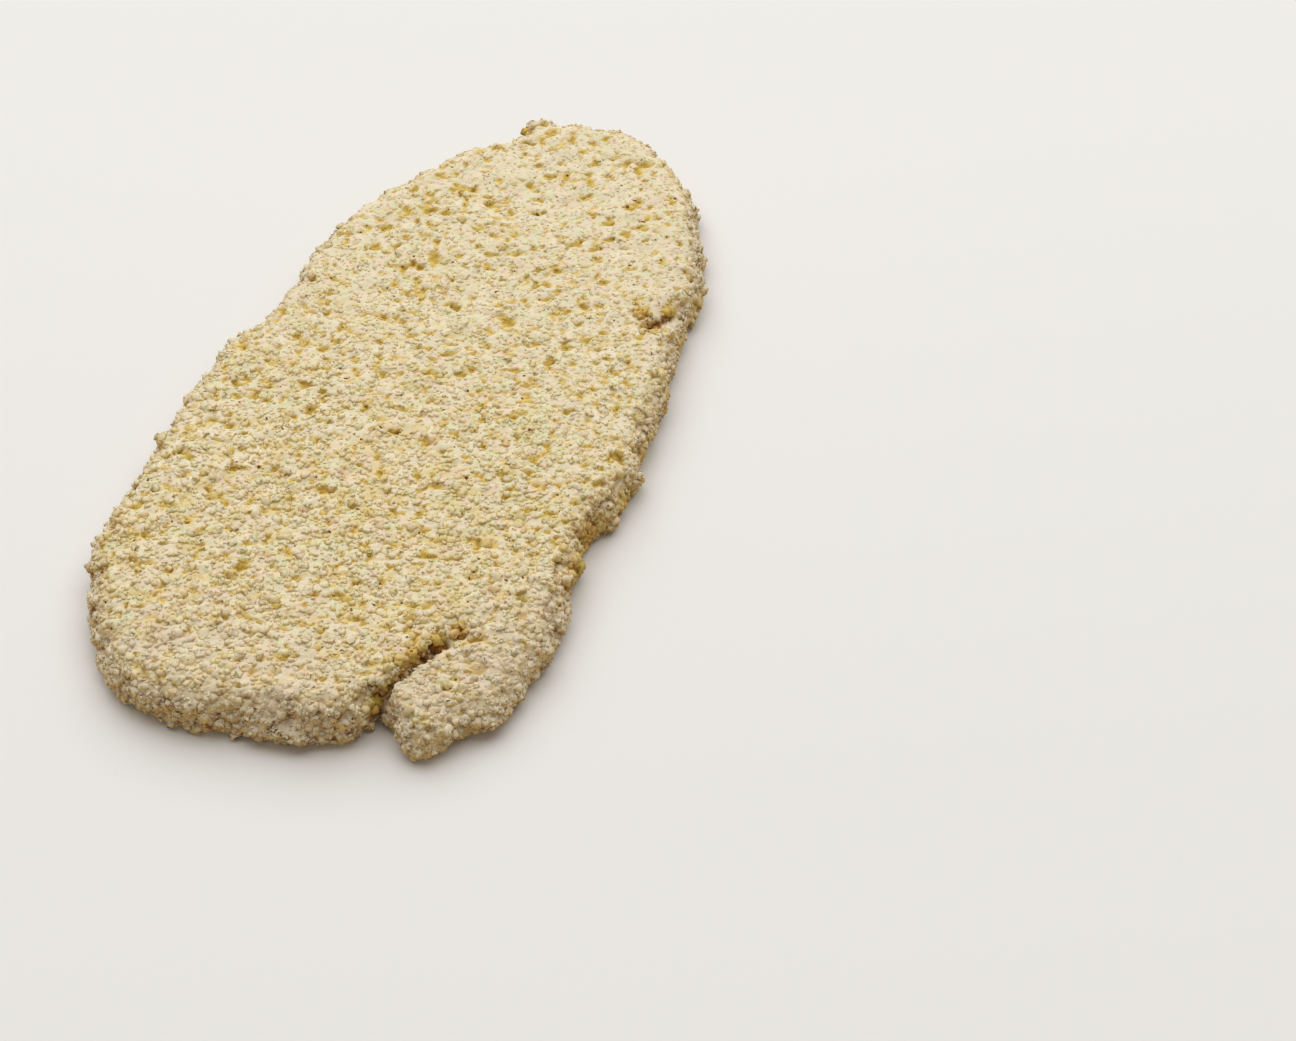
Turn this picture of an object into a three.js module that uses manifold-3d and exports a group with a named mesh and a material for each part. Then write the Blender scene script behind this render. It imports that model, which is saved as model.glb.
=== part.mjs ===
// A raw breaded schnitzel lying flat: one slice of meat, beaten thin, under a coat of dried crumbs.
// Millimetres, +Z up. The origin is on the surface it lies on, under the middle of the slice.
// +Y runs along the slice to its narrower, far end. The near end has the cleft that parts a flap from it.

import * as THREE from "three";
import { SimplexNoise } from "three/addons/math/SimplexNoise.js";
import { mergeVertices } from "three/addons/utils/BufferGeometryUtils.js";
import Module from "manifold-3d";

const { degToRad, lerp, smoothstep, seededRandom } = THREE.MathUtils;

// The slice
const LENGTH = 188;
const WIDTH = 93.3;
const NEAR_THICKNESS = 12;
const FAR_THICKNESS = 10.4;

// How square each corner of the outline is: 2 is an ellipse, higher is boxier
const FULLNESS = { farRight: 2.55, farLeft: 1.85, nearRight: 2, nearLeft: 3 };

// Where the outline swells out (+) or draws in (-): its direction from the middle, how far, and how wide
const SWELLS = [
  { at: 156, by: -6.8, spread: 24 }, // waist on the left
  { at: 111, by: -7.4, spread: 18 }, // far left corner, cut back
  { at: 99.4, by: -4.7, spread: 4 }, // bay beside the scrap
  { at: 51, by: 2.2, spread: 3.2 }, // shoulder above the nick
  { at: 43.5, by: -3.3, spread: 20 }, // right side under the shoulder
  { at: -11.3, by: 1.6, spread: 7.6 }, // fullest stretch of the right side
  { at: -32, by: -1.2, spread: 6.1 }, // where the flap starts
  { at: -52, by: 10.5, spread: 11.3 }, // side of the flap
  { at: -59.6, by: 7.8, spread: 4.9 }, // corner of the flap
  { at: -67.6, by: 10.8, spread: 4.3 }, // tip of the flap
  { at: -74, by: -7, spread: 1.8 }, // mouth of the cleft
  { at: -106, by: 6.4, spread: 10.3 }, // near left corner
  { at: -124, by: 5.8, spread: 9 }, // near stretch of the left side
];
const FADE = 12; // the narrower a swell, the sooner it fades from the rim inwards

// The rim's section: it slopes out and down from the face to its widest line, then tucks in to the base
const SLOPE_RUN = 6.2;
const WIDEST_LEVEL = 0.27; // share of the thickness
const TUCK_RUN = 1.6;
const SLOPE_STEPS = 4;
const TUCK_STEPS = 2;
const SLOPE_FULLNESS = 2.3;

// Relief of the crumb coat
const RIPPLE = { height: 0.45, length: 34 };
const CRUMB = { height: 0.5, length: 7, grain: 0.7, scatter: 0.5 };
const RAGGED = { reach: 0.9, length: 8 };

// The net of triangles: its pitch over the crumbed face, and the coarser one over the flat base
const PITCH = 2.35;
const BASE_PITCH = 7.5;
const FINEST = 0.05; // joins leave slivers smaller than this, which are closed up

// The cleft that parts the flap: the curve that it follows inwards from the rim, and how it narrows
const CLEFT = {
  path: new THREE.QuadraticBezierCurve(
    new THREE.Vector2(22.6, -84),
    new THREE.Vector2(26.8, -74),
    new THREE.Vector2(34.8, -60.8),
  ),
  width: 3.4,
  endWidth: 1.2,
  depth: 9,
  endDepth: 1.6,
  steps: 12,
};
const FLAP_DROP = 2; // how far the flap lies below the rest beside the cleft

// The nick in the right edge, under the shoulder
const NICK = {
  path: new THREE.QuadraticBezierCurve(
    new THREE.Vector2(48, 42.5),
    new THREE.Vector2(39.5, 30.5),
    new THREE.Vector2(33, 34),
  ),
  width: 2.4,
  endWidth: 1,
  depth: 4,
  endDepth: 1,
  steps: 8,
};

// The scrap that curls off the far rim
const SCRAP = { at: [-8.8, 86.6, 7.6], size: [3.9, 2.6, 2.6] };

// Crags of clumped crumbs round the rim
const CRAGS = { count: 64, small: 1.4, large: 2.8, sunk: 0.6 };

const COAT_COLOUR = 0xe3d4a6;

let seed = 7;
const random = () => seededRandom(seed++);
const noise = new SimplexNoise({ random });

// Distance from the middle to the outline in a direction, before the edge is roughened.
// The share is 1 at the rim and 0 at the middle line.
function reach(angle, share) {
  const right = (1 + Math.cos(angle)) / 2;
  const far = (1 + Math.sin(angle)) / 2;
  const power = lerp(
    lerp(FULLNESS.nearLeft, FULLNESS.nearRight, right),
    lerp(FULLNESS.farLeft, FULLNESS.farRight, right),
    far,
  );
  const across = Math.abs((2 * Math.cos(angle)) / WIDTH) ** power;
  const along = Math.abs((2 * Math.sin(angle)) / LENGTH) ** power;
  return (across + along) ** (-1 / power) + swell(angle, share);
}

function swell(angle, share) {
  let sum = 0;
  for (const { at, by, spread } of SWELLS) {
    const away = Math.atan2(Math.sin(angle - degToRad(at)), Math.cos(angle - degToRad(at)));
    sum += by * share ** (FADE / spread) * Math.exp(-((away / degToRad(spread)) ** 2));
  }
  return sum;
}

// A closed ring that lies a given distance inside the outline. It shrinks towards the slice's middle
// line and not its middle point, so that rings stay evenly spaced all round.
class Ring extends THREE.Curve {
  constructor(inset) {
    super();
    this.share = 1 - (2 * inset) / WIDTH;
    this.arcLengthDivisions = 720;
  }

  // A turn starts at the near end and goes by way of the right side
  getPoint(turn, target = new THREE.Vector3()) {
    const angle = 2 * Math.PI * (turn - 0.25);
    const r = reach(angle, this.share);
    const ragged = RAGGED.reach * wobble(Math.cos(angle) * r, Math.sin(angle) * r, 0, RAGGED.length);
    const x = (r + ragged) * Math.cos(angle);
    const y = (r + ragged) * Math.sin(angle);
    const middleLine = y * (1 - WIDTH / LENGTH);
    return target.set(x * this.share, lerp(middleLine, y, this.share), 0);
  }
}

function wobble(x, y, z, length) {
  return noise.noise3d(x / length, y / length, z / length);
}

// Height of the crumbed face at a point of the plan
function faceHeight(x, y) {
  const thickness = lerp(NEAR_THICKNESS, FAR_THICKNESS, smoothstep(y, -LENGTH / 2, LENGTH / 2));
  return thickness + RIPPLE.height * wobble(x, y, 40, RIPPLE.length) - flapDrop(x, y);
}

// The flap sinks beside the cleft, and comes level again beyond the cleft's end and towards its outer edge
function flapDrop(x, y) {
  const end = CLEFT.path.v2;
  const alongCleft = THREE.MathUtils.clamp((y - CLEFT.path.v0.y) / (end.y - CLEFT.path.v0.y), 0, 1);
  const beside = x - CLEFT.path.getPoint(alongCleft).x;
  const onFlap = smoothstep(beside, -1, 1) * (1 - smoothstep(beside, 8, 22));
  return FLAP_DROP * onFlap * (1 - smoothstep(y, end.y - 12, end.y + 6));
}

// The rim's slope, from the face's edge (0) to the widest line (1)
function slope(share) {
  const turn = share * (Math.PI / 2);
  const inset = SLOPE_RUN * (1 - Math.sin(turn) ** (2 / SLOPE_FULLNESS));
  const level = lerp(WIDEST_LEVEL, 1, Math.cos(turn) ** (2 / SLOPE_FULLNESS));
  return { inset, level, out: Math.sin(turn), up: Math.cos(turn) };
}

// The section of the slice from its middle line over the rim to the base, as rings:
// how far each is inside the outline, its share of the face's height, and the way the surface faces there
function sectionRings() {
  const rings = [];
  for (let inset = WIDTH / 2 - PITCH / 2; inset > SLOPE_RUN + PITCH / 2; inset -= PITCH) {
    rings.push({ inset, level: 1, out: 0, up: 1, pitch: PITCH });
  }
  for (let step = 0; step <= SLOPE_STEPS; step++) {
    rings.push({ ...slope(step / SLOPE_STEPS), pitch: PITCH });
  }
  for (let step = 1; step <= TUCK_STEPS; step++) {
    const turn = (step / TUCK_STEPS) * (Math.PI / 2);
    const level = WIDEST_LEVEL * (1 - Math.sin(turn));
    rings.push({ inset: TUCK_RUN * (1 - Math.cos(turn)), level, out: Math.cos(turn), up: 0, pitch: PITCH });
  }
  for (let inset = TUCK_RUN + PITCH; inset < WIDTH / 2; inset += BASE_PITCH) {
    rings.push({ inset, level: 0, out: 0, up: 0, pitch: BASE_PITCH });
  }
  return rings;
}

// One ring's points in space, evenly spaced and roughened by the crumbs
function ringPoints({ inset, level, out, up, pitch }) {
  const ring = new Ring(inset);
  const count = Math.max(6, Math.round(ring.getLength() / pitch));
  const points = [];
  for (let k = 0; k < count; k++) {
    const turn = ring.getUtoTmapping(k / count);
    const p = ring.getPoint(turn);
    const outward = new THREE.Vector2(p.x, p.y * (WIDTH / LENGTH)).normalize();
    const z = level * faceHeight(p.x, p.y);
    const crumb = CRUMB.height * wobble(p.x, p.y, z, CRUMB.length) + CRUMB.grain * (random() - 0.5);
    const scatter = up * CRUMB.scatter * pitch;
    p.x += out * crumb * outward.x + scatter * (random() - 0.5);
    p.y += out * crumb * outward.y + scatter * (random() - 0.5);
    p.z = level > 0 ? Math.max(0, z + up * crumb) : 0;
    points.push({ p, turn });
  }
  return points;
}

// Triangles between two rings that may differ in their number of points, walking round both together
function stitch(triangles, inner, outer) {
  const next = (ring, k) => (k + 1 < ring.length ? ring[k + 1].turn : 1);
  let i = 0;
  let j = 0;
  while (i < inner.length || j < outer.length) {
    const a = inner[i % inner.length].p;
    const b = outer[j % outer.length].p;
    const stepInner = j === outer.length || (i < inner.length && next(inner, i) <= next(outer, j));
    if (stepInner) {
      triangles.push(a, b, inner[++i % inner.length].p);
    } else {
      triangles.push(a, b, outer[++j % outer.length].p);
    }
  }
}

// Closes the innermost ring, a narrow loop round the middle line, from side to side
function close(triangles, ring, facesUp) {
  const at = (k) => ring[k % ring.length].p;
  const add = (a, b, c) => triangles.push(...(facesUp ? [at(a), at(b), at(c)] : [at(c), at(b), at(a)]));
  for (let right = 0, left = ring.length; left - right > 1; right++, left--) {
    add(left, right, right + 1);
    add(left, right + 1, left - 1);
  }
}

function sliceGeometry() {
  const rings = sectionRings().map(ringPoints);
  const triangles = [];
  close(triangles, rings[0], true);
  for (let k = 1; k < rings.length; k++) {
    stitch(triangles, rings[k - 1], rings[k]);
  }
  close(triangles, rings.at(-1), false);
  return new THREE.BufferGeometry().setFromPoints(triangles);
}

// A wedge that follows a curve from the rim inwards, ever narrower and less deep
function wedgeGeometry({ path, width, endWidth, depth, endDepth, steps }) {
  const above = NEAR_THICKNESS + 4;
  const sections = [];
  for (let k = 0; k <= steps; k++) {
    const t = k / steps;
    const centre = path.getPoint(t);
    const tangent = path.getTangent(t);
    const top = lerp(width, endWidth, t) * (0.85 + 0.3 * random());
    const foot = 0.3 * top;
    const bottom = faceHeight(centre.x, centre.y) - lerp(depth, endDepth, t);
    const corner = (across, z) =>
      new THREE.Vector3(centre.x + tangent.y * across, centre.y - tangent.x * across, z);
    sections.push([corner(-top / 2, above), corner(top / 2, above), corner(foot / 2, bottom), corner(-foot / 2, bottom)]);
  }
  const triangles = [];
  const quad = (a, b, c, d) => triangles.push(a, b, c, a, c, d);
  for (let k = 1; k < sections.length; k++) {
    for (let i = 0; i < 4; i++) {
      const next = (i + 1) % 4;
      quad(sections[k - 1][i], sections[k - 1][next], sections[k][next], sections[k][i]);
    }
  }
  quad(...sections[0].toReversed());
  quad(...sections.at(-1));
  return new THREE.BufferGeometry().setFromPoints(triangles);
}

// A rough lump: an icosahedron whose corners are pushed in and out
function lumpGeometry(size, detail, roughness) {
  const lump = bare(new THREE.IcosahedronGeometry(1, detail));
  const at = lump.getAttribute("position");
  for (let i = 0; i < at.count; i++) {
    const grow = 1 + roughness * (random() - 0.5);
    at.setXYZ(i, at.getX(i) * size[0] * grow, at.getY(i) * size[1] * grow, at.getZ(i) * size[2] * grow);
  }
  return lump;
}

// Clumps of crumbs, more than half sunk in the rim
function cragGeometries() {
  const crags = [];
  for (let i = 0; i < CRAGS.count; i++) {
    const radius = lerp(CRAGS.small, CRAGS.large, random() ** 2);
    const { inset, level, out, up } = slope(lerp(0.3, 1, random()));
    const place = new Ring(inset + CRAGS.sunk * radius * out).getPoint((i + random()) / CRAGS.count);
    const height = level * faceHeight(place.x, place.y) - CRAGS.sunk * radius * up;
    const size = [radius * lerp(0.9, 1.4, random()), radius, radius * lerp(0.7, 1, random())];
    crags.push(lumpGeometry(size, 0, 0.5).rotateZ(2 * Math.PI * random()).translate(place.x, place.y, height));
  }
  return crags;
}

// A geometry with its positions alone, its shared corners merged
function bare(geometry) {
  geometry.deleteAttribute("normal");
  geometry.deleteAttribute("uv");
  return mergeVertices(geometry, 1e-4);
}

const wasm = await Module();
wasm.setup();

function solid(geometry) {
  const merged = bare(geometry);
  return new wasm.Manifold(
    new wasm.Mesh({
      numProp: 3,
      vertProperties: merged.getAttribute("position").array,
      triVerts: new Uint32Array(merged.index.array),
    }),
  );
}

function geometryOf(manifold) {
  const { vertProperties, triVerts } = manifold.getMesh();
  return new THREE.BufferGeometry()
    .setAttribute("position", new THREE.BufferAttribute(vertProperties, 3))
    .setIndex(new THREE.BufferAttribute(triVerts, 1));
}

function schnitzelGeometry() {
  const scrap = lumpGeometry(SCRAP.size, 1, 0.35).translate(...SCRAP.at);
  let body = solid(sliceGeometry()).add(solid(scrap));
  for (const crag of cragGeometries()) {
    body = body.add(solid(crag));
  }
  body = body.subtract(solid(wedgeGeometry(CLEFT))).subtract(solid(wedgeGeometry(NICK)));
  const largest = body.decompose().sort((a, b) => b.volume() - a.volume())[0];
  const geometry = geometryOf(largest.simplify(FINEST));
  geometry.computeBoundingBox();
  const middle = geometry.boundingBox.getCenter(new THREE.Vector3());
  return geometry.translate(-middle.x, -middle.y, -geometry.boundingBox.min.z);
}

const schnitzel = new THREE.Mesh(
  schnitzelGeometry(),
  new THREE.MeshStandardMaterial({ color: COAT_COLOUR, roughness: 0.95, metalness: 0 }),
);
schnitzel.name = "schnitzel";

const group = new THREE.Group();
group.add(schnitzel);

export default group;
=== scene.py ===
# %% [markdown]
# # A raw breaded schnitzel
# One slice of meat, beaten thin, turned in flour and egg and pressed into dried crumbs, before it is fried.
# What the eye sees is only the coat: a pale, dry, porous crust of crumbs a millimetre or two across, with
# ochre showing in its pits and a dusting of flour along the rim. The slice's form comes ready made, as a
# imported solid, and this lesson dresses it: first a core with the coat's relief, then some 26,000 crumbs on
# top, with their finishes, and at the end the floor and the light.

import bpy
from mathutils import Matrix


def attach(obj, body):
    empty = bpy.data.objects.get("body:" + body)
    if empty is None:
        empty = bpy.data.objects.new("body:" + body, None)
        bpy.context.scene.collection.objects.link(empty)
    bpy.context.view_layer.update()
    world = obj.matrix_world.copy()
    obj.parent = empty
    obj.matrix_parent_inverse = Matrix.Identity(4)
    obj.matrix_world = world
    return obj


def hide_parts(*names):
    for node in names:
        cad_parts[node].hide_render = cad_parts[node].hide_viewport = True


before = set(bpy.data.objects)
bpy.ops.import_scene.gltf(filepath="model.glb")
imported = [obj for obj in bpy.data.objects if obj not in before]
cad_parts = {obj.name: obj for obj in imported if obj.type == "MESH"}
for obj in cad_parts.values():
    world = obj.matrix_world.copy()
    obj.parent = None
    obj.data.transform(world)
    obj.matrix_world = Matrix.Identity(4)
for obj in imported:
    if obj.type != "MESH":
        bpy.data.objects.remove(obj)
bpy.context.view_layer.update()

# %% [markdown]
# ## Units
# Blender counts in metres and crumbs are measured in millimetres, so every size below is written as a
# number of millimetres times MM. It could be written in metres with many noughts, but then a slip of one
# nought is hard to see.

# %% Units
import math

import bmesh
import bpy
import numpy as np
from mathutils import Vector

MM = 0.001
PER_SQUARE_MM = 1 / MM**2

# %% [markdown]
# ## Camera
# The slice is seen from 45 degrees above, a little from its right, through a long lens that hardly shrinks
# its far end. It stands left of the middle, so the camera aims past it. A camera can be aimed by a
# constraint, but a turn worked out once from the direction of view leaves nothing live in the scene.

# %% Camera
AZIMUTH = math.radians(20)
ELEVATION = math.radians(45)
DISTANCE = 720 * MM
AIM = Vector((51.3, -10.7, 0)) * MM
# Blender itself counts these two in millimetres
LENS = 100
SENSOR = 36


def direction(azimuth, elevation):
    """The way from the slice to a place round it: azimuth 0 is before its near end, 90 on its right."""
    flat = math.cos(elevation)
    return Vector((math.sin(azimuth) * flat, -math.cos(azimuth) * flat, math.sin(elevation)))


camera = bpy.data.objects.new("camera", bpy.data.cameras.new("camera"))
bpy.context.scene.collection.objects.link(camera)
bpy.context.scene.camera = camera
camera.data.lens = LENS
camera.data.sensor_width = SENSOR
camera.location = AIM + DISTANCE * direction(AZIMUTH, ELEVATION)
camera.rotation_euler = direction(AZIMUTH, ELEVATION).to_track_quat("Z", "Y").to_euler()
print("camera at, mm:", [round(c / MM) for c in camera.location])

# %% [markdown]
# ## Helpers for node trees
# Both the geometry and the finishes below are node trees that the script builds. They could be drawn by
# hand in the interface, but a script can be read through and changed in one place. A few small functions
# keep it readable: they fill sockets, add nodes and sums, and let one number follow another.

# %% Helpers for node trees
def fill(tree, socket, value):
    """Links a socket to another node's output, or gives it a plain value."""
    if isinstance(value, bpy.types.NodeSocket):
        tree.links.new(value, socket)
    else:
        socket.default_value = value


def add(tree, kind, sockets=None, **settings):
    """A new node with its settings made and its sockets filled."""
    made = tree.nodes.new(kind)
    for name, value in settings.items():
        setattr(made, name, value)
    for name, value in (sockets or {}).items():
        fill(tree, made.inputs[name], value)
    return made


def maths(tree, operation, *values):
    """The result of one sum on numbers."""
    made = add(tree, "ShaderNodeMath", operation=operation)
    for socket, value in zip(made.inputs, values):
        fill(tree, socket, value)
    return made.outputs[0]


def times(tree, *factors):
    """The product of two or more numbers."""
    product = factors[0]
    for factor in factors[1:]:
        product = maths(tree, "MULTIPLY", product, factor)
    return product


def along(tree, share, low, high):
    """An even rise from low, where a share is 0, to high, where it is 1."""
    return maths(tree, "MULTIPLY_ADD", share, high - low, low)


def step(tree, value, low, high, bottom=0.0, top=1.0):
    """A smooth rise from bottom, where the value is at low, to top, where it is at high, level beyond."""
    sockets = {"Value": value, "From Min": low, "From Max": high, "To Min": bottom, "To Max": top}
    return add(tree, "ShaderNodeMapRange", sockets, interpolation_type="SMOOTHSTEP").outputs[0]


def noise(tree, place, often, detail):
    """A soft noise that repeats so often in a metre: first its grey value, then its colour."""
    return add(tree, "ShaderNodeTexNoise", {"Vector": place, "Scale": often, "Detail": detail}).outputs


print("helpers for all trees ready")

# %% [markdown]
# ## Helpers for geometry trees
# A geometry tree reads its sizes from named inputs, so that each can be set from outside, as on a modifier
# in the interface. It also reads values that its mesh carries and keeps new ones on it, and it works on
# places, normals and shifts, which are vectors.

# %% Helpers for geometry trees
NOISE_MIDDLE = (0.5, 0.5, 0.5)


def geometry_tree(name, inputs):
    """A geometry tree with named inputs. Gives back the tree, its inputs and the socket for its result."""
    tree = bpy.data.node_groups.new(name, "GeometryNodeTree")
    tree.interface.new_socket("Geometry", in_out="INPUT", socket_type="NodeSocketGeometry")
    for label, kind in inputs.items():
        tree.interface.new_socket(label, in_out="INPUT", socket_type="NodeSocket" + kind)
    tree.interface.new_socket("Geometry", in_out="OUTPUT", socket_type="NodeSocketGeometry")
    start = tree.nodes.new("NodeGroupInput")
    end = tree.nodes.new("NodeGroupOutput")
    return tree, start.outputs, end.inputs["Geometry"]


def mesh_value(tree, name, kind="FLOAT"):
    """A value kept on the mesh under a name."""
    return add(tree, "GeometryNodeInputNamedAttribute", {"Name": name}, data_type=kind).outputs[0]


def keep_value(tree, geometry, name, value, kind="FLOAT", domain="POINT"):
    """The geometry with a value kept on it under a name."""
    sockets = {"Geometry": geometry, "Name": name, "Value": value}
    return add(tree, "GeometryNodeStoreNamedAttribute", sockets, data_type=kind, domain=domain).outputs[0]


def vector_sum(tree, operation, *values):
    """The result of one sum on vectors."""
    made = add(tree, "ShaderNodeVectorMath", operation=operation)
    for socket, value in zip(made.inputs, values):
        fill(tree, socket, value)
    return made.outputs["Value" if operation == "DOT_PRODUCT" else "Vector"]


def scaled(tree, vector, amount):
    """A vector made longer or shorter."""
    return add(tree, "ShaderNodeVectorMath", {0: vector, "Scale": amount}, operation="SCALE").outputs[0]


def wavering(tree, place, often, detail, far):
    """A shift that changes softly from place to place, so often in a metre, by at most half of far."""
    cloud = noise(tree, place, often, detail)["Color"]
    return scaled(tree, vector_sum(tree, "SUBTRACT", cloud, NOISE_MIDDLE), far)


def normal(tree):
    """Which way the surface faces at a point."""
    return add(tree, "GeometryNodeInputNormal").outputs[0]


def upward(tree):
    """How far a point's normal turns up: 1 is straight up, 0 level, -1 straight down."""
    return add(tree, "ShaderNodeSeparateXYZ", {0: normal(tree)}).outputs["Z"]


def raised(tree, place, lowest):
    """A place that is nowhere lower than a height."""
    split = add(tree, "ShaderNodeSeparateXYZ", {0: place}).outputs
    height = maths(tree, "MAXIMUM", split["Z"], lowest)
    return add(tree, "ShaderNodeCombineXYZ", {"X": split["X"], "Y": split["Y"], "Z": height}).outputs[0]


def move(tree, geometry, **where):
    """The geometry with its points put at a Position, or moved by an Offset."""
    return add(tree, "GeometryNodeSetPosition", {"Geometry": geometry, **where}).outputs[0]


print("helpers for geometry trees ready")

# %% [markdown]
# A finished tree is run on a mesh by a modifier. The modifier could stay, but then the piece would be
# worked out anew with every change. So its inputs are set by their identifiers, the evaluated result is
# read back as a plain mesh, and the modifier comes off again.

# %% Running a geometry tree
def grow(name, mesh, tree, values):
    """Runs a geometry tree on a mesh, and gives back a new object that holds the result as a plain mesh."""
    piece = bpy.data.objects.new(name, mesh)
    bpy.context.scene.collection.objects.link(piece)
    modifier = piece.modifiers.new(tree.name, "NODES")
    modifier.node_group = tree
    for socket in tree.interface.items_tree:
        if socket.in_out == "INPUT" and socket.name in values:
            modifier[socket.identifier] = values[socket.name]
    evaluated = piece.evaluated_get(bpy.context.evaluated_depsgraph_get())
    result = bpy.data.meshes.new_from_object(evaluated)
    piece.modifiers.remove(modifier)
    piece.data = result
    result.name = name
    print(name, "triangles:", sum(len(face.vertices) - 2 for face in result.polygons))
    return piece


print("ready to grow pieces")

# %% [markdown]
# ## The core
# Under the crumbs is one continuous crust, so the core is a single closed mesh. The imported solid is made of
# flat faces over 2 mm across, too coarse for the coat's relief. Subdividing it would keep its creases, so a
# copy is rebuilt from small voxels instead, and smoothed until the creases are gone.

# %% The core
VOXEL = 0.64 * MM
SMOOTHING = 8
SAME_PLACE = 0.001 * MM


def core_mesh(node):
    """A fine, even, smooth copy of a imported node's mesh."""
    mesh = node.data.copy()
    shell = bmesh.new()
    shell.from_mesh(mesh)
    bmesh.ops.remove_doubles(shell, verts=shell.verts, dist=SAME_PLACE)
    shell.to_mesh(mesh)
    shell.free()
    holder = bpy.data.objects.new("core", mesh)
    bpy.context.scene.collection.objects.link(holder)
    remesh = holder.modifiers.new("voxels", "REMESH")
    remesh.mode = "VOXEL"
    remesh.voxel_size = VOXEL
    smooth = holder.modifiers.new("smooth", "SMOOTH")
    smooth.iterations = SMOOTHING
    evaluated = holder.evaluated_get(bpy.context.evaluated_depsgraph_get())
    result = bpy.data.meshes.new_from_object(evaluated)
    bpy.data.objects.remove(holder)
    return result


core = core_mesh(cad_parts["schnitzel"])
print("core faces:", len(core.polygons))

# %% [markdown]
# ## Where the coat is golden, split or floury
# The coat isn't the same all over. Golden crumbs line the cleft, the nick and the fold under the scrap and
# lie in patches on the right wall; under the scrap and along the wall that gold is also painted shade. The
# cleft and the nick are split, with painted shade in brown at the bottom, and a grey-white dusting of
# flour lies along the near rim, on the flap, on the scrap and at the right edge. Such places could be
# painted by hand, but a short list of centres and widths is easier to change. Each turns into a soft
# mask, kept on the mesh as an attribute that the crumbs inherit later.

# %% Where the coat is golden, split or floury
# x, y and z of each place, then how far it reaches, all in millimetres
GOLDEN_CLEFT = [
    (21, -80, 6, 2.5),
    (22, -76, 8, 2.5),
    (23.5, -72.5, 10, 2.4),
    (26, -69.5, 11, 2.2),
    (28.9, -65.2, 12, 1.9),
    (31.8, -61, 12.2, 1.5),
]
GOLDEN_NICK = [
    (42, 41, 9, 2.5),
    (38.5, 39.8, 11, 2.2),
    (36, 33, 11.5, 2),
    (32.8, 36.5, 12, 2),
]
# Golden crumbs in the fold under the scrap, also painted shade there.
GOLD_AND_SHADE_FOLD = [
    (-10, 85, 6, 2.5),
    (-13.5, 86.5, 6, 2.5),
]
# Golden patches on the right wall, also painted shade along the wall.
GOLD_AND_SHADE_WALL = [
    (48, -24, 4, 7),
    (46.5, -34, 4, 5.5),
    (50.5, -11, 3, 5.5),
    (49.5, 5, 3, 5.5),
    (48.5, 21, 3, 5.5),
    (46, 38, 3, 5.5),
    (44.5, 50, 3, 5),
]
SPLIT_CLEFT = [
    (22.5, -77, 4, 1.5),
    (23.8, -73.5, 6, 1.5),
    (25.6, -71, 7, 1.5),
    (27.5, -68.6, 9, 1.5),
    (29, -66.8, 10.5, 1.4),
    (30.6, -65, 12, 1.3),
    (32.5, -61.8, 12.2, 1.3),
    (34, -59.4, 12.4, 1.1),
    (35.4, -57.4, 12.4, 0.8),
]
SPLIT_NICK = [
    (34.6, 32.8, 11.3, 1.5),
    (35.8, 33.8, 11, 1.8),
    (36.8, 34.9, 10.5, 1.8),
    (37.9, 37, 10, 1.7),
    (39.5, 39, 9.5, 1.3),
]
FLOURY_PLACES = [
    (-18, -84, 10, 14),
    (8, -86, 9, 13),
    (40, -64, 10, 13),
    (34, -78, 9, 10),
    (46, -50, 8, 10),
    (-9.5, 89.5, 9, 3.5),
    (44, 52, 10, 12),
]


def point_table(mesh, what):
    """The places or the normals of a mesh's points, one row each."""
    table = np.empty(3 * len(mesh.vertices), np.float32)
    mesh.vertices.foreach_get(what, table)
    return table.reshape(-1, 3)


def keep_mask(mesh, name, share):
    """Keeps one number for each point on the mesh, under a name."""
    mesh.attributes.new(name, "FLOAT", "POINT").data.foreach_set("value", share.astype(np.float32))
    print(name, "mean:", round(float(share.mean()), 3))


def nearness(points, places):
    """How near each point is to the nearest of some places, from 0 to 1."""
    share = np.zeros(len(points), np.float32)
    for x, y, z, width in places:
        away = np.linalg.norm(points / MM - (x, y, z), axis=1) / width
        share = np.maximum(share, np.exp(-(away**2)))
    return share


core_points = point_table(core, "co")
keep_mask(core, "golden", nearness(core_points, GOLDEN_CLEFT + GOLDEN_NICK + GOLD_AND_SHADE_FOLD + GOLD_AND_SHADE_WALL))
keep_mask(core, "floury", nearness(core_points, FLOURY_PLACES))
keep_mask(core, "crevice", nearness(core_points, SPLIT_CLEFT + SPLIT_NICK))

# %% [markdown]
# ## Where the coat is steep or coarse
# Two more masks follow simple rules. One says how steep the coat stands, because the walls of the rim are
# browner than the top, partly their own colour and partly painted shade, and bulge in crags. The other
# says how coarse the crumbs are: on top it falls off from 1 at the near end to a tenth at the far end, while
# the walls stay coarse all the way round.

# %% Where the coat is steep or coarse
COARSE_UNTIL = 75 * MM
COARSE_FADE = 110 * MM
LEAST_COARSE = 0.1

side = 1 - np.abs(point_table(core, "normal")[:, 2])
coarse = (COARSE_UNTIL - core_points[:, 1]) / COARSE_FADE
keep_mask(core, "side", side)
keep_mask(core, "coarse", np.clip(np.maximum(coarse, side), LEAST_COARSE, 1))

# %% [markdown]
# ## The relief
# Pressed crumbs set as a crust of lumps 2 to 3 mm across, with pits between them where the crust broke or
# crumbs are missing. A texture in the finish could fake it, but only geometry gives it a true rim
# against the light, so a geometry tree moves the core's points. Cells make the lumps, and finer cells the
# single crumbs. A soft noise, cut off below a level, makes pits and smaller pores, and a slower one pushes
# the walls out and in as crags. A wavering bends the cells and hollows, so that none looks regular.

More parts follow.
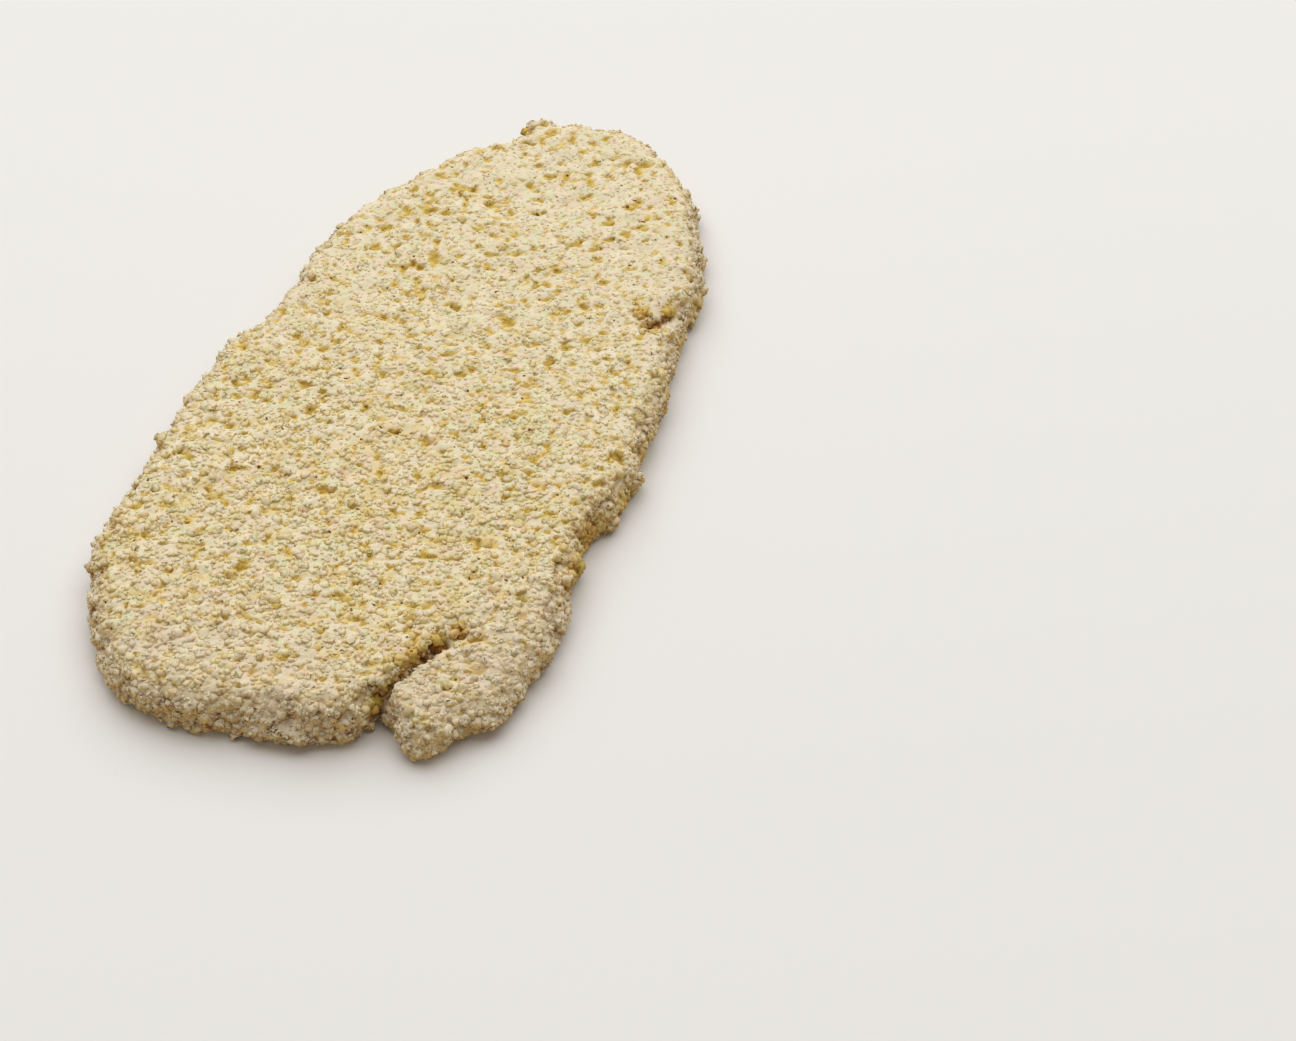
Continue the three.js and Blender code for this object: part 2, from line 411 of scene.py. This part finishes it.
# %% The relief: lumps, hollows and crags
RELIEF = {
    "Sunk": 0.25 * MM,
    "Lump Size": 2.8 * MM,
    "Lump Height": 0.8 * MM,
    "Crumb Size": 1.3 * MM,
    "Crumb Height": 0.45 * MM,
    "Pit Size": 2.3 * MM,
    "Pit Depth": 0.7 * MM,
    "Pit Share": 0.13,
    "Pore Size": 1.4 * MM,
    "Pore Depth": 0.35 * MM,
    "Pore Share": 0.08,
    "Crevice Depth": 2.0 * MM,
    "Crag Size": 6 * MM,
    "Crag Height": 4 * MM,
    "Lowest": 0.1 * MM,
}
WANDER_OFTEN = 300
WANDER_FAR = 2 * MM
CELL_MIDDLE = 0.5
CLOUD_MIDDLE = 0.5
RAREST = 0.68
HOLLOW_EDGE = 0.18

relief, sizes, result = geometry_tree("relief", dict.fromkeys(RELIEF, "Float"))
place = add(relief, "GeometryNodeInputPosition").outputs[0]
bent = vector_sum(relief, "ADD", place, wavering(relief, place, WANDER_OFTEN, 2, WANDER_FAR))


def cloud(spot, size):
    """A soft noise of a size."""
    return noise(relief, spot, maths(relief, "DIVIDE", 1, size), 1)[0]


def bumps(size, height, feature):
    """Round bumps of a size and a height, packed like cells."""
    sockets = {"Vector": bent, "Scale": maths(relief, "DIVIDE", 1, size)}
    away = add(relief, "ShaderNodeTexVoronoi", sockets, feature=feature).outputs["Distance"]
    return times(relief, maths(relief, "SUBTRACT", CELL_MIDDLE, away), height)


def hollows(size, share):
    """Scattered soft hollows of a size, from 0 to 1. The greater the share, the more of them there are."""
    low = maths(relief, "SUBTRACT", RAREST, share)
    return step(relief, cloud(bent, size), low, maths(relief, "ADD", low, HOLLOW_EDGE))


lump = bumps(sizes["Lump Size"], sizes["Lump Height"], "SMOOTH_F1")
crumb = bumps(sizes["Crumb Size"], sizes["Crumb Height"], "F1")
pit = hollows(sizes["Pit Size"], sizes["Pit Share"])
pore = hollows(sizes["Pore Size"], sizes["Pore Share"])
crag = maths(relief, "SUBTRACT", cloud(place, sizes["Crag Size"]), CLOUD_MIDDLE)
crag = times(relief, crag, sizes["Crag Height"], mesh_value(relief, "side"))
print("relief tree:", len(relief.nodes), "nodes so far")

# %% [markdown]
# The bumps add up to a height, about halved at the far end, and the hollows take from it. How deep each
# point lies is kept for the finishes: 0 or less on top of a lump, 1 and more at the bottom of a pit. They
# colour the pits by it, partly as egg-yellow crumb and partly as painted shade. Crags leave it alone,
# because crumbs are as pale on them as elsewhere, and crevices have a mask of their own. Each point then
# moves along its normal, and the floor presses the coat flat. How far it faces up is kept as well, because
# the finishes paint crumb palest on top as painted light and yellower on its flanks as painted shade.

# %% The relief: moving the points
LEAST_HEIGHT = 0.5
PORE_DEEP = 0.6
LEVEL_DEEP = 0.15
HEIGHT_PER_DEEP = 2.4 * MM

height = maths(relief, "ADD", lump, crumb)
height = times(relief, height, along(relief, mesh_value(relief, "coarse"), LEAST_HEIGHT, 1))
deep = maths(relief, "MULTIPLY_ADD", pore, PORE_DEEP, LEVEL_DEEP)
deep = maths(relief, "ADD", deep, pit)
deep = maths(relief, "SUBTRACT", deep, maths(relief, "DIVIDE", height, HEIGHT_PER_DEEP))

height = maths(relief, "ADD", height, crag)
taken = {
    "Pit Depth": maths(relief, "MAXIMUM", pit, mesh_value(relief, "golden")),
    "Pore Depth": pore,
    "Crevice Depth": mesh_value(relief, "crevice"),
}
for depth, share in taken.items():
    height = maths(relief, "SUBTRACT", height, times(relief, share, sizes[depth]))
height = maths(relief, "SUBTRACT", height, sizes["Sunk"])

# How deep a point lies, for the pits' egg-yellow colour and their painted shade.
marked = keep_value(relief, sizes["Geometry"], "deep", deep)
moved = move(relief, marked, Offset=scaled(relief, normal(relief), height))
pressed = move(relief, moved, Position=raised(relief, place, sizes["Lowest"]))
# How far a point faces up, for painted light on top and painted shade on the flanks.
fill(relief, result, keep_value(relief, pressed, "upward", upward(relief)))
coat = grow("crumb_coat", core, relief, RELIEF)

# %% [markdown]
# ## Colours
# Shaders mix linear values, but a colour is easier to judge as picked on a screen, from 0 to 255, so one
# small function turns the second into the first, by the standard curve of screens. The names say what a
# colour looks like or where on the coat it is seen.

# %% Colours
def linear(share):
    """One part of a screen's colour, from 0 to 1, as a share of light."""
    return share / 12.92 if share <= 0.04045 else ((share + 0.055) / 1.055) ** 2.4


def rgb(red, green, blue):
    """A colour as picked on a screen, turned into the linear values that shaders mix."""
    return (linear(red / 255), linear(green / 255), linear(blue / 255), 1)


ROSY = rgb(241, 222, 198)
GREENISH = rgb(233, 228, 193)
PALE = rgb(242, 230, 203)
YELLOW = rgb(232, 204, 126)
OCHRE = rgb(214, 181, 92)
GOLD = rgb(222, 178, 92)
MUSTARD = rgb(208, 185, 90)
# The olive is painted shade at the bottom of deep pits.
SHADE_OLIVE = rgb(168, 134, 54)
# The brown and umber below are painted shade; the tan is partly the walls' own colour, partly painted shade.
SHADE_BROWN = rgb(140, 88, 34)
TAN_AND_SHADE = rgb(220, 180, 118)
SHADE_UMBER = rgb(144, 95, 40)
FLOUR = rgb(232, 214, 192)
TOAST = rgb(214, 160, 84)
# The pore colour is painted shade in pores.
PORE_SHADE = rgb(96, 66, 36)
RUST = rgb(132, 84, 52)
print("pale crumb, linear:", [round(part, 3) for part in PALE])

# %% [markdown]
# ## The finish of dry crumb
# The coat's colour comes in layers: a cream ground, and over it yellow, ochre, tan, flour and gold, each
# only where it belongs; some of these layers are painted light and shade. A picture could be wrapped round
# the slice, but then every crumb would be smeared. So each layer's share follows from the masks on the mesh
# and from noise in Object coordinates, and the coat and the crumbs on it change colour together.

# %% The finish: helpers
def blend(tree, share, first, second):
    """Two colours mixed by a share."""
    made = add(tree, "ShaderNodeMix", data_type="RGBA")
    colours = [s for s in made.inputs if s.type == "RGBA"]
    fill(tree, made.inputs["Factor"], share)
    fill(tree, colours[0], first)
    fill(tree, colours[1], second)
    return [s for s in made.outputs if s.type == "RGBA"][0]


def laid_over(tree, colour, layers):
    """A colour with others laid over it one by one, each by its share."""
    for share, layer in layers:
        colour = blend(tree, share, colour, layer)
    return colour


def kept_on_mesh(tree, name):
    """A mask that the mesh carries."""
    return add(tree, "ShaderNodeAttribute", attribute_name=name).outputs["Fac"]


def grain(tree, size, detail=2):
    """A soft noise of a size in Object coordinates."""
    spot = add(tree, "ShaderNodeTexCoord").outputs["Object"]
    return noise(tree, spot, 1 / size, detail)[0]


def patches(tree, size, low=0.4, high=0.6, most=1.0, detail=2):
    """Soft patches of a size: 0 where their noise is below low, most where it is above high."""
    return step(tree, grain(tree, size, detail), low, high, 0, most)


print("helpers for finishes ready")

# %% [markdown]
# Dried crumb wanders between a rosy and a greenish cream over two or three millimetres, with paler
# patches, and yellower ones where the egg shows, more of them where it is coarse. As painted light and
# shade, it is palest where it faces straight up or down and yellow to ochre on its flanks. Down in the
# pits it turns yellow to ochre, partly egg-yellow crumb and partly painted shade.

# %% The finish: crumb on the flat
def flat_colour(tree, mask, ochre, yolk):
    """Crumb on the flat. The higher the yolk, from 0 to 1, the yellower it is."""
    level = maths(tree, "ABSOLUTE", mask["upward"])
    eggy = times(tree, patches(tree, 3.4 * MM, 0.52, 0.64), along(tree, mask["coarse"], 0.12, 0.47))
    cream = blend(tree, patches(tree, 2.6 * MM, 0.42, 0.58), ROSY, GREENISH)
    layers = [
        (patches(tree, 9 * MM, most=0.7), PALE),
        (eggy, YELLOW),
        (yolk, YELLOW),
        # Painted light and shade: palest facing straight up or down, yellow to ochre on the flanks.
        (step(tree, level, 0.2, 0.9, 0.9, 0), YELLOW),
        (step(tree, level, 0.2, 0.8, 0.5, 0), ochre),
        # Yellow to ochre down in the pits: partly egg-yellow crumb, partly painted shade.
        (step(tree, mask["deep"], 0.15, 0.75), YELLOW),
        (step(tree, mask["deep"], 0.55, 1.1), ochre),
    ]
    return laid_over(tree, cream, layers)


print("crumb on the flat ready")

# %% [markdown]
# The walls are tan, partly their own colour and partly painted shade. Umber and brown between their
# crumbs and below them are painted shade, where little light comes in, and the pale on their crumbs' tops
# is painted light. The lamp alone would leave those places grey. Golden crumb has painted shade in brown
# low down and underneath, and painted light, yellower, on top.

# %% The finish: walls and golden places
def wall_colour(tree, mask, colour):
    """A colour that turns into the wall's where the coat is steep: tan, with painted shade and painted light.
    """
    wall = step(tree, mask["side"], 0.05, 0.7)
    layers = [
        # Tan: partly the wall's own colour, partly painted shade.
        (step(tree, mask["deep"], -0.1, 0.5, 0.35, 0.85), TAN_AND_SHADE),
        # Painted shade: umber and brown deep between crumbs and where the wall faces down.
        (step(tree, mask["deep"], 0.15, 0.7), SHADE_UMBER),
        (step(tree, mask["upward"], -0.1, -0.6), SHADE_UMBER),
        (step(tree, mask["deep"], 0.45, 0.95, 0, 0.6), SHADE_BROWN),
        # Painted light: pale where a wall crumb faces up.
        (step(tree, mask["upward"], 0, 0.65, 0, 0.9), PALE),
    ]
    return laid_over(tree, colour, [(times(tree, wall, share), layer) for share, layer in layers])


def golden_colour(tree, mask, ochre):
    """Golden crumb: patches of gold and ochre, painted shade in brown low down and below, painted light on
    top.
    """
    layers = [
        # Painted shade: brown low down and underneath. Painted light: yellower on top.
        (step(tree, mask["deep"], 0.2, 0.9, 0, 0.7), SHADE_BROWN),
        (step(tree, mask["upward"], 0.3, -0.5, 0, 0.6), SHADE_BROWN),
        (step(tree, mask["upward"], 0.4, 0.9, 0, 0.35), YELLOW),
    ]
    return laid_over(tree, blend(tree, patches(tree, 3 * MM), GOLD, ochre), layers)


print("walls and golden places ready")

# %% [markdown]
# The whole finish lays flour, gold and the small marks over these: painted shade in olive at the bottom of
# deep pits, rusty specks, and painted shade in brown crevices and dark pores. On single crumbs it also
# toasts about one in thirty. Dried crumb is matte and a little translucent, and a fine bump stands for its
# grain.

# %% The finish: all of it
MASKS = ["deep", "side", "golden", "coarse", "upward", "floury", "crevice"]
MATTE = 0.9
SPECK_ABOVE = 0.83


def mark_layers(tree, mask, single):
    """The small marks that lie over everything else: specks, toast, and painted shade in pits, crevices,
    pores.
    """
    deepest = step(tree, mask["deep"], 0.85, 1.25, 0, 0.5)
    cell = {"Vector": add(tree, "ShaderNodeTexCoord").outputs["Object"], "Scale": 1 / (3 * MM)}
    cell = add(tree, "ShaderNodeTexVoronoi", cell).outputs["Distance"]
    layers = [
        # Painted shade: olive at the bottom of deep pits.
        (times(tree, deepest, step(tree, mask["golden"], 0, 0.3, 1, 0)), SHADE_OLIVE),
        (maths(tree, "GREATER_THAN", grain(tree, 1.2 * MM, 0), SPECK_ABOVE), RUST),
        # Painted shade: brown down the crevices.
        (step(tree, mask["crevice"], 0.3, 0.8), SHADE_BROWN),
    ]
    if single:
        layers.append((step(tree, kept_on_mesh(tree, "tone"), 0.95, 0.98, 0, 0.35), TOAST))
    # Painted shade: dark pores in the deeper places.
    pore = times(tree, step(tree, cell, 0.06, 0.14, 1, 0), step(tree, mask["deep"], 0.3, 0.6))
    return layers + [(pore, PORE_SHADE)]


def crumb_finish(name, yolk, single):
    """Dry crumb. The higher the yolk, from 0 to 1, the yellower. With single, crumbs differ one by one."""
    finish = bpy.data.materials.new(name)
    finish.use_nodes = True
    tree = finish.node_tree
    mask = {kept: kept_on_mesh(tree, kept) for kept in MASKS}
    ochre = blend(tree, patches(tree, 6 * MM), OCHRE, MUSTARD)
    dusted = times(tree, mask["floury"], patches(tree, 4 * MM, 0.35, 0.6, detail=3))
    dusted = times(tree, dusted, step(tree, mask["side"], 0.1, 0.8, 0.7, 0.15))
    layers = [
        (dusted, FLOUR),
        (step(tree, mask["golden"], 0.1, 0.7), golden_colour(tree, mask, ochre)),
        *mark_layers(tree, mask, single),
    ]
    colour = wall_colour(tree, mask, flat_colour(tree, mask, ochre, yolk))

    shader = tree.nodes["Principled BSDF"].inputs
    fill(tree, shader["Base Color"], laid_over(tree, colour, layers))
    shader["Roughness"].default_value = MATTE
    shader["Specular IOR Level"].default_value = 0.2
    shader["Subsurface Weight"].default_value = 0.5
    shader["Subsurface Radius"].default_value = (1, 0.95, 0.7)
    shader["Subsurface Scale"].default_value = 0.4 * MM
    bump = {"Height": grain(tree, 0.6 * MM, 3), "Distance": 0.15 * MM, "Strength": 0.7}
    fill(tree, shader["Normal"], add(tree, "ShaderNodeBump", bump).outputs[0])
    return finish


crust_finish = crumb_finish("crust", yolk=0.0, single=False)
pale_finish = crumb_finish("pale crumb", yolk=0.0, single=True)
golden_finish = crumb_finish("golden crumb", yolk=0.5, single=True)
coat.data.materials.clear()
coat.data.materials.append(crust_finish)
print("finishes:", [finish.name for finish in bpy.data.materials])

# %% [markdown]
# ## Scattering crumbs
# On a real coat single crumbs stick out all over, each of another shape. Copies of a few modelled crumbs
# would repeat, so the tree below scatters plain balls with few faces, turned, flattened and stretched at
# random, makes them real, and then pushes their corners about with one noise through space, so that no two
# come out alike. First it chooses the points. Each mask thins the crumbs out by its own amount.

# %% Scattering crumbs: the points
scatter, sizes, result = geometry_tree(
    "scatter",
    {
        "Spacing": "Float",
        "Density": "Float",
        "Smallest": "Float",
        "Largest": "Float",
        "Flatness": "Float",
        "Lean": "Float",
        "Sunk": "Float",
        "Roughness": "Float",
        "Around": "Int",
        "Rings": "Int",
        "Seed": "Int",
        "Lowest Facing": "Float",
        "Highest Facing": "Float",
        "In Pits": "Float",
        "Off Gold": "Float",
        "In Gold": "Float",
        "In Crevice": "Float",
        "On Flats": "Float",
        "On Walls": "Float",
        "Where Fine": "Float",
        "Material": "Material",
    },
)


def by_mask(mask, off, on):
    """A factor that is off where a mask is 0 and on where it is 1."""
    held = maths(scatter, "MAXIMUM", mesh_value(scatter, mask), 0)
    held = maths(scatter, "MINIMUM", held, 1)
    return maths(scatter, "MULTIPLY_ADD", held, maths(scatter, "SUBTRACT", on, off), off)


facing = upward(scatter)
thick = times(
    scatter,
    maths(scatter, "GREATER_THAN", facing, sizes["Lowest Facing"]),
    maths(scatter, "LESS_THAN", facing, sizes["Highest Facing"]),
    by_mask("deep", 1, sizes["In Pits"]),
    by_mask("golden", sizes["Off Gold"], sizes["In Gold"]),
    by_mask("side", sizes["On Flats"], sizes["On Walls"]),
    by_mask("crevice", 1, sizes["In Crevice"]),
    by_mask("coarse", sizes["Where Fine"], 1),
)
points = add(
    scatter,
    "GeometryNodeDistributePointsOnFaces",
    {
        "Mesh": sizes["Geometry"],
        "Distance Min": sizes["Spacing"],
        "Density Max": sizes["Density"],
        "Density Factor": thick,
        "Seed": sizes["Seed"],
    },
    distribute_method="POISSON",
).outputs
print("scatter tree:", len(scatter.nodes), "nodes so far")

# %% [markdown]
# Each point then gets a ball of its own width. It lies on its flat side with a random lean, as a crumb
# does that was pressed on, and is bedded a little into the crust, more so at the smoother far end, where
# it is also smaller. The point's place and normal are kept for a moment, to tell later how far a corner
# stands proud.

# %% Scattering crumbs: the balls
FINE_WIDTH = 0.85
FINE_SUNK = 0.12
LEAST_STRETCH = 0.8
MOST_STRETCH = 1.3
BALL_RADIUS = 0.5


def between(low, high, draw):
    """A random number for each crumb, with a seed of its own for each draw."""
    made = add(scatter, "FunctionNodeRandomValue", data_type="FLOAT")
    floats = [s for s in made.inputs if s.type == "VALUE"]
    fill(scatter, floats[0], low)
    fill(scatter, floats[1], high)
    fill(scatter, made.inputs["Seed"], maths(scatter, "ADD", sizes["Seed"], draw))
    return [s for s in made.outputs if s.type == "VALUE"][0]


coarse = mesh_value(scatter, "coarse")
place = add(scatter, "GeometryNodeInputPosition").outputs[0]
width = between(sizes["Smallest"], sizes["Largest"], 2)
width = times(scatter, width, along(scatter, coarse, FINE_WIDTH, 1))
sunk = maths(scatter, "ADD", sizes["Sunk"], along(scatter, coarse, FINE_SUNK, 0))
marked = keep_value(scatter, points["Points"], "foot", place, "FLOAT_VECTOR")
marked = keep_value(scatter, marked, "away", points["Normal"], "FLOAT_VECTOR")
bedded = move(scatter, marked, Offset=scaled(scatter, points["Normal"], times(scatter, width, sunk, -1)))

back = times(scatter, sizes["Lean"], -1)
lean = {
    "X": between(back, sizes["Lean"], 3),
    "Y": between(back, sizes["Lean"], 4),
    "Z": between(0, 2 * math.pi, 5),
}
lean = add(scatter, "ShaderNodeCombineXYZ", lean).outputs[0]
turn = {"Rotation": points["Rotation"], "Rotate By": lean}
turn = add(scatter, "FunctionNodeRotateRotation", turn, rotation_space="LOCAL").outputs[0]
stretch = {
    "X": times(scatter, width, between(LEAST_STRETCH, MOST_STRETCH, 6)),
    "Y": width,
    "Z": times(scatter, width, sizes["Flatness"]),
}
stretch = add(scatter, "ShaderNodeCombineXYZ", stretch).outputs[0]
ball = {"Radius": BALL_RADIUS, "Segments": sizes["Around"], "Rings": sizes["Rings"]}
ball = add(scatter, "GeometryNodeMeshUVSphere", ball).outputs[0]
placed = {"Points": bedded, "Instance": ball, "Rotation": turn, "Scale": stretch}
placed = add(scatter, "GeometryNodeInstanceOnPoints", placed).outputs[0]
toned = keep_value(scatter, placed, "tone", between(0, 1, 7), domain="INSTANCE")
real = add(scatter, "GeometryNodeRealizeInstances", {"Geometry": toned}).outputs[0]
print("scatter tree:", len(scatter.nodes), "nodes so far")

# %% [markdown]
# Now the balls are real meshes, and one noise pushes their corners about. A corner's depth is most of what
# the crust has under it, plus a share for how low it sits on the crumb, which is painted shade: the flanks
# of a crumb take the crust's colour and its painted shade, and only its top is pale, as painted light. What
# would reach below the floor is pressed flat, each crumb at a height of its own, so that no two faces fall
# in one plane.

# %% Scattering crumbs: their shapes
PUSH_OFTEN = 2000
CRUST_SHARE = 0.8
PROUD = 0.45 * MM
FLANK_SHADE = 0.25
PRESSED = 0.25 * MM

push = wavering(scatter, place, PUSH_OFTEN, 1, sizes["Roughness"])
rough = move(scatter, real, Offset=push)
foot = mesh_value(scatter, "foot", "FLOAT_VECTOR")
away = mesh_value(scatter, "away", "FLOAT_VECTOR")
proud = vector_sum(scatter, "DOT_PRODUCT", vector_sum(scatter, "SUBTRACT", place, foot), away)
deep = times(scatter, mesh_value(scatter, "deep"), CRUST_SHARE)
# A crumb's low flanks count deeper, as painted shade.
deep = maths(scatter, "ADD", deep, step(scatter, proud, 0, PROUD, FLANK_SHADE, 0))
shaded = keep_value(scatter, rough, "deep", deep)
# How far each corner faces up, for painted light on top and painted shade on the flanks.
shaded = keep_value(scatter, shaded, "upward", upward(scatter))
for name in ("foot", "away"):
    shaded = add(scatter, "GeometryNodeRemoveAttribute", {"Geometry": shaded, "Name": name}).outputs[0]
lowest = times(scatter, mesh_value(scatter, "tone"), PRESSED)
pressed = move(scatter, shaded, Position=raised(scatter, place, lowest))
soft = add(scatter, "GeometryNodeSetShadeSmooth", {"Geometry": pressed, "Shade Smooth": True}).outputs[0]
finished = {"Geometry": soft, "Material": sizes["Material"]}
fill(scatter, result, add(scatter, "GeometryNodeSetMaterial", finished).outputs[0])
print("scatter tree:", len(scatter.nodes), "nodes")

# %% [markdown]
# ## Kinds of crumb
# One function runs the tree for a kind of crumb. Its sizes are in millimetres, its density in crumbs per
# square millimetre, and its lean in radians. A last group of rules says where the kind lies: from which
# facing to which, 1 being straight up, and how thick in pits, off and on golden places, in crevices, on
# flats, on walls and at the finer far end. One tree for each kind would say the same thing seven times.

# %% Kinds of crumb
LEAN = 0.45
ABOVE = {
    "Lowest Facing": -0.5,
    "Highest Facing": 2.0,
    "In Pits": 0.1,
    "Off Gold": 1.0,
    "In Gold": 0.2,
    "In Crevice": 0.0,
    "On Flats": 1.0,
    "On Walls": 1.0,
    "Where Fine": 1.0,
}


def crumbs(
    name, mesh, finish, seed, widths, spacing, density, faces, roughness,
    flatness=0.6, sunk=0.05, rules=None,
):
    """A new piece with one kind of crumb all over a mesh. Its rules are those of ABOVE, but for some."""
    values = {
        "Spacing": spacing * MM,
        "Density": density * PER_SQUARE_MM,
        "Smallest": widths[0] * MM,
        "Largest": widths[1] * MM,
        "Flatness": flatness,
        "Lean": LEAN,
        "Sunk": sunk,
        "Roughness": roughness * MM,
        "Around": faces[0],
        "Rings": faces[1],
        "Seed": seed,
        "Material": finish,
        **ABOVE,
        **(rules or {}),
    }
    return grow(name, mesh, scatter, values)


print("a kind has", len(ABOVE), "rules for where it lies")

# %% [markdown]
# The largest crumbs hang on the rim as crags and lie on the near half as clumps. Their noise is strong, so
# that they look broken and not like pebbles.

# %% Crags and clumps
crags = crumbs(
    "crumbs_crags",
    coat.data,
    pale_finish,
    seed=10,
    widths=(1.2, 2.3),
    spacing=1.2,
    density=0.34,
    faces=(8, 6),
    roughness=1.8,
    flatness=0.8,
    rules={"Lowest Facing": -0.4, "Highest Facing": 0.7},
)
clumps = crumbs(
    "crumbs_clumps",
    coat.data,
    pale_finish,
    seed=20,
    widths=(1.5, 2.6),
    spacing=1.5,
    density=0.11,
    faces=(8, 6),
    roughness=1.8,
    sunk=0.12,
    rules={"Where Fine": 0.1},
)

# %% [markdown]
# Between them the whole coat is covered with large and middling crumbs. They are flat and well bedded, so
# the crust reads as one surface.

# %% Large and middling crumbs
large = crumbs(
    "crumbs_large",
    coat.data,
    pale_finish,
    seed=30,
    widths=(1.1, 1.9),
    spacing=0.9,
    density=0.4,
    faces=(5, 3),
    roughness=1.3,
    sunk=0.1,
)
middling = crumbs(
    "crumbs_middling",
    coat.data,
    pale_finish,
    seed=50,
    widths=(0.7, 1.2),
    spacing=0.6,
    density=0.6,
    faces=(5, 3),
    roughness=0.6,
    sunk=0.08,
    rules={"In Pits": 0.4},
)

# %% [markdown]
# On the golden places the crumbs are golden themselves and stand close. The underside has crumbs too,
# pressed flat by what it lies on.

# %% Golden crumbs and crumbs below
golden = crumbs(
    "crumbs_golden",
    coat.data,
    golden_finish,
    seed=90,
    widths=(1.2, 2.4),
    spacing=0.9,
    density=4.0,
    faces=(8, 5),
    roughness=1.8,
    flatness=0.8,
    sunk=0.0,
    rules={"In Pits": 1.0, "Off Gold": 0.0, "In Gold": 1.0, "In Crevice": 0.8},
)
below = crumbs(
    "crumbs_below",
    coat.data,
    pale_finish,
    seed=110,
    widths=(1.1, 2.1),
    spacing=1.0,
    density=0.4,
    faces=(6, 3),
    roughness=1.0,
    rules={"Lowest Facing": -2.0, "Highest Facing": -0.5, "In Pits": 0.3},
)

# %% [markdown]
# Last come fine bits, scattered over the crust and over the crags and clumps as well, which roughens
# those. They are thick on the walls and sparse on the flat face, where the coat was pressed smooth.

# %% Fine bits
def joined(pieces):
    """One mesh of several pieces, to scatter on."""
    shell = bmesh.new()
    for piece in pieces:
        shell.from_mesh(piece.data)
    mesh = bpy.data.meshes.new("joined")
    shell.to_mesh(mesh)
    shell.free()
    return mesh


fine = crumbs(
    "crumbs_fine",
    joined([coat, crags, clumps]),
    pale_finish,
    seed=70,
    widths=(0.4, 0.8),
    spacing=0.3,
    density=1.0,
    faces=(5, 3),
    roughness=0.6,
    flatness=0.7,
    sunk=0.0,
    rules={"In Pits": 0.0, "On Flats": 0.3},
)

# %% [markdown]
# ## What the pieces stand for
# The slice is one body, so every piece rides on it. Together they stand for the imported solid, which goes
# on carrying the weight and the contact.

# %% What the pieces stand for
pieces = [coat, crags, clumps, large, middling, golden, below, fine]
for piece in pieces:
    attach(piece, "root")
    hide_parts("schnitzel")
print("pieces:", [piece.name for piece in pieces])

# %% [markdown]
# ## Floor
# A plain white floor, far wider than the view, catches the shadow and sends soft light back up under the
# rim. A curved backdrop would do the same, but from this height no horizon shows.

# %% Floor
# half the floor's side, in metres
HALF = 3
WHITE = 0.9

floor = bpy.data.objects.new("floor", bpy.data.meshes.new("floor"))
bpy.context.scene.collection.objects.link(floor)
corners = [(-HALF, -HALF, 0), (HALF, -HALF, 0), (HALF, HALF, 0), (-HALF, HALF, 0)]
floor.data.from_pydata(corners, [], [(0, 1, 2, 3)])
floor_finish = bpy.data.materials.new("white floor")
floor_finish.use_nodes = True
paint = floor_finish.node_tree.nodes["Principled BSDF"].inputs
paint["Base Color"].default_value = (WHITE, WHITE, WHITE, 1)
paint["Roughness"].default_value = MATTE
floor.data.materials.append(floor_finish)
print("floor, m:", 2 * HALF, "by", 2 * HALF)

# %% [markdown]
# ## Light
# One very large softbox stands high behind the slice, so the top is bright and the rim that faces the
# camera falls into a mild shade. Three smaller lamps would draw harder shadows among the crumbs. The room
# adds a weak, warm fill. The Standard view transform keeps the pale colours as they were mixed.

# %% Light
ROOM_TINT = (1, 0.92, 0.76, 1)
ROOM_STRENGTH = 0.26


def softbox(name, azimuth, elevation, distance, size, power):
    """A square lamp that faces the slice. Its angles are in degrees, its sizes in metres."""
    lamp = bpy.data.objects.new(name, bpy.data.lights.new(name, "AREA"))
    bpy.context.scene.collection.objects.link(lamp)
    lamp.data.size = size
    lamp.data.energy = power
    away = direction(math.radians(azimuth), math.radians(elevation))
    lamp.location = distance * away
    lamp.rotation_euler = away.to_track_quat("Z", "Y").to_euler()


softbox("key", azimuth=200, elevation=66, distance=1.6, size=2.6, power=34.5)
room = bpy.data.worlds.new("room")
bpy.context.scene.world = room
room.use_nodes = True
air = room.node_tree.nodes["Background"].inputs
air["Color"].default_value = ROOM_TINT
air["Strength"].default_value = ROOM_STRENGTH
bpy.context.scene.view_settings.view_transform = "Standard"
print("lamps:", [lamp.name for lamp in bpy.data.lights])
